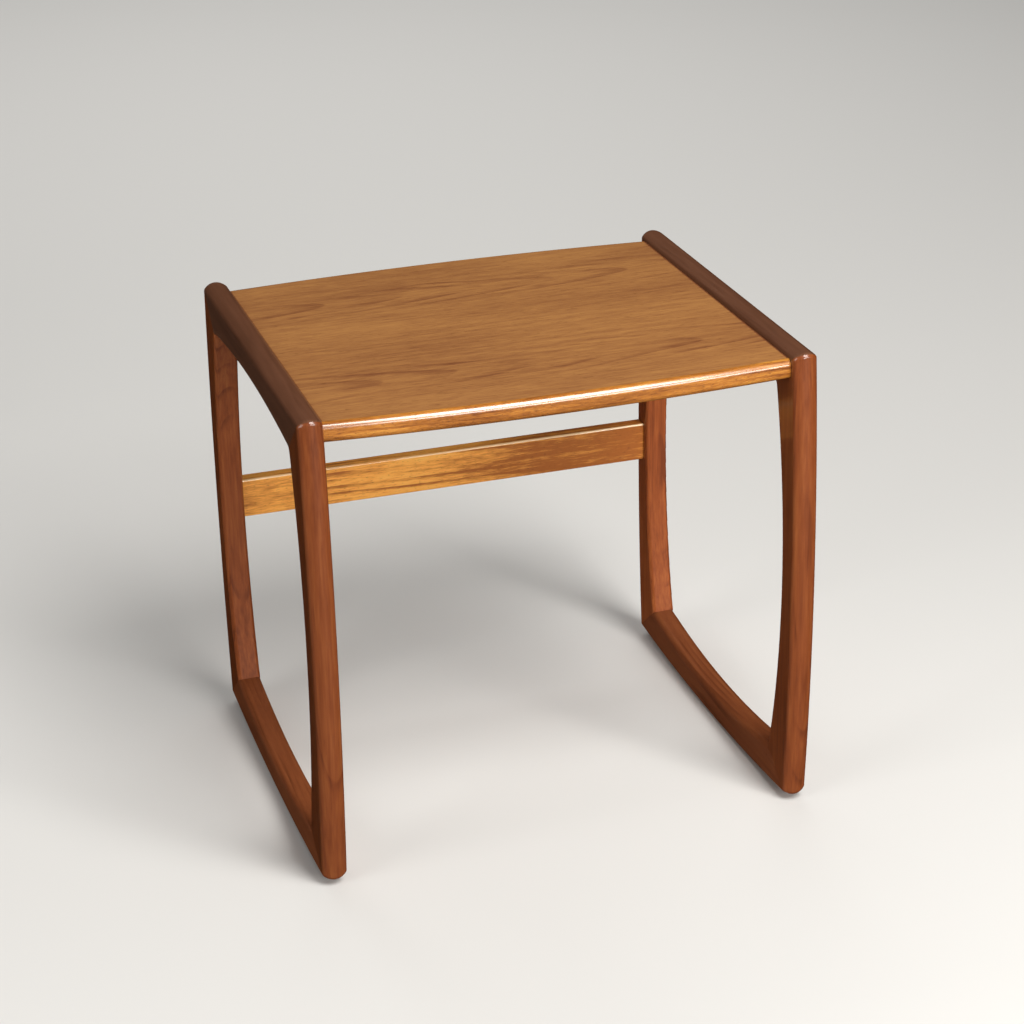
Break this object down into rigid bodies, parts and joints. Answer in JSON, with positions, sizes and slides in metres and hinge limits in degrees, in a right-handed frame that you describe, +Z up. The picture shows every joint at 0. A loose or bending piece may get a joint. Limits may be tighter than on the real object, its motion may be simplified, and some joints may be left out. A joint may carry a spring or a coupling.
{
  "type": "nesting table",
  "caption": "Occasional table with closed, bowed side frames that carry a lipped, veneered panel and a rear stretcher, leaving room beneath to nest smaller tables.",
  "frame": {"origin": "on the floor, midway between the side frames and midway from front to back", "axes": "+X from the left side frame to the right one, +Y from the open front to the stretcher at the back, +Z up"},
  "size_m": [0.512, 0.4429, 0.49],
  "materials": {
    "frame_wood": "reddish-brown close-grained hardwood, satin lacquer",
    "lipping_wood": "golden-brown interlocked-grain hardwood, satin lacquer",
    "stretcher_wood": "golden-brown interlocked-grain hardwood, satin lacquer",
    "top_veneer": "crown-cut mid-brown veneer, satin lacquer",
    "underside_veneer": "plain brown backing veneer, sealed",
    "core_board": "raw chipboard, hidden inside the panel",
    "dowel_wood": "raw beech, hidden in the joints"
  },
  "bodies": {
    "root": {"left_top_rail": "frame_wood", "left_front_leg": "frame_wood", "left_rear_leg": "frame_wood", "left_runner": "frame_wood", "left_front_top_dowels": "dowel_wood", "left_rear_top_dowels": "dowel_wood", "left_front_bottom_dowels": "dowel_wood", "left_rear_bottom_dowels": "dowel_wood", "left_panel_dowels": "dowel_wood", "left_stretcher_dowels": "dowel_wood", "right_top_rail": "frame_wood", "right_front_leg": "frame_wood", "right_rear_leg": "frame_wood", "right_runner": "frame_wood", "right_front_top_dowels": "dowel_wood", "right_rear_top_dowels": "dowel_wood", "right_front_bottom_dowels": "dowel_wood", "right_rear_bottom_dowels": "dowel_wood", "right_panel_dowels": "dowel_wood", "right_stretcher_dowels": "dowel_wood", "panel_core": "core_board", "panel_top_veneer": "top_veneer", "panel_underside_veneer": "underside_veneer", "front_lipping": "lipping_wood", "rear_lipping": "lipping_wood", "rear_stretcher": "stretcher_wood"}
  },
  "joints": []
}
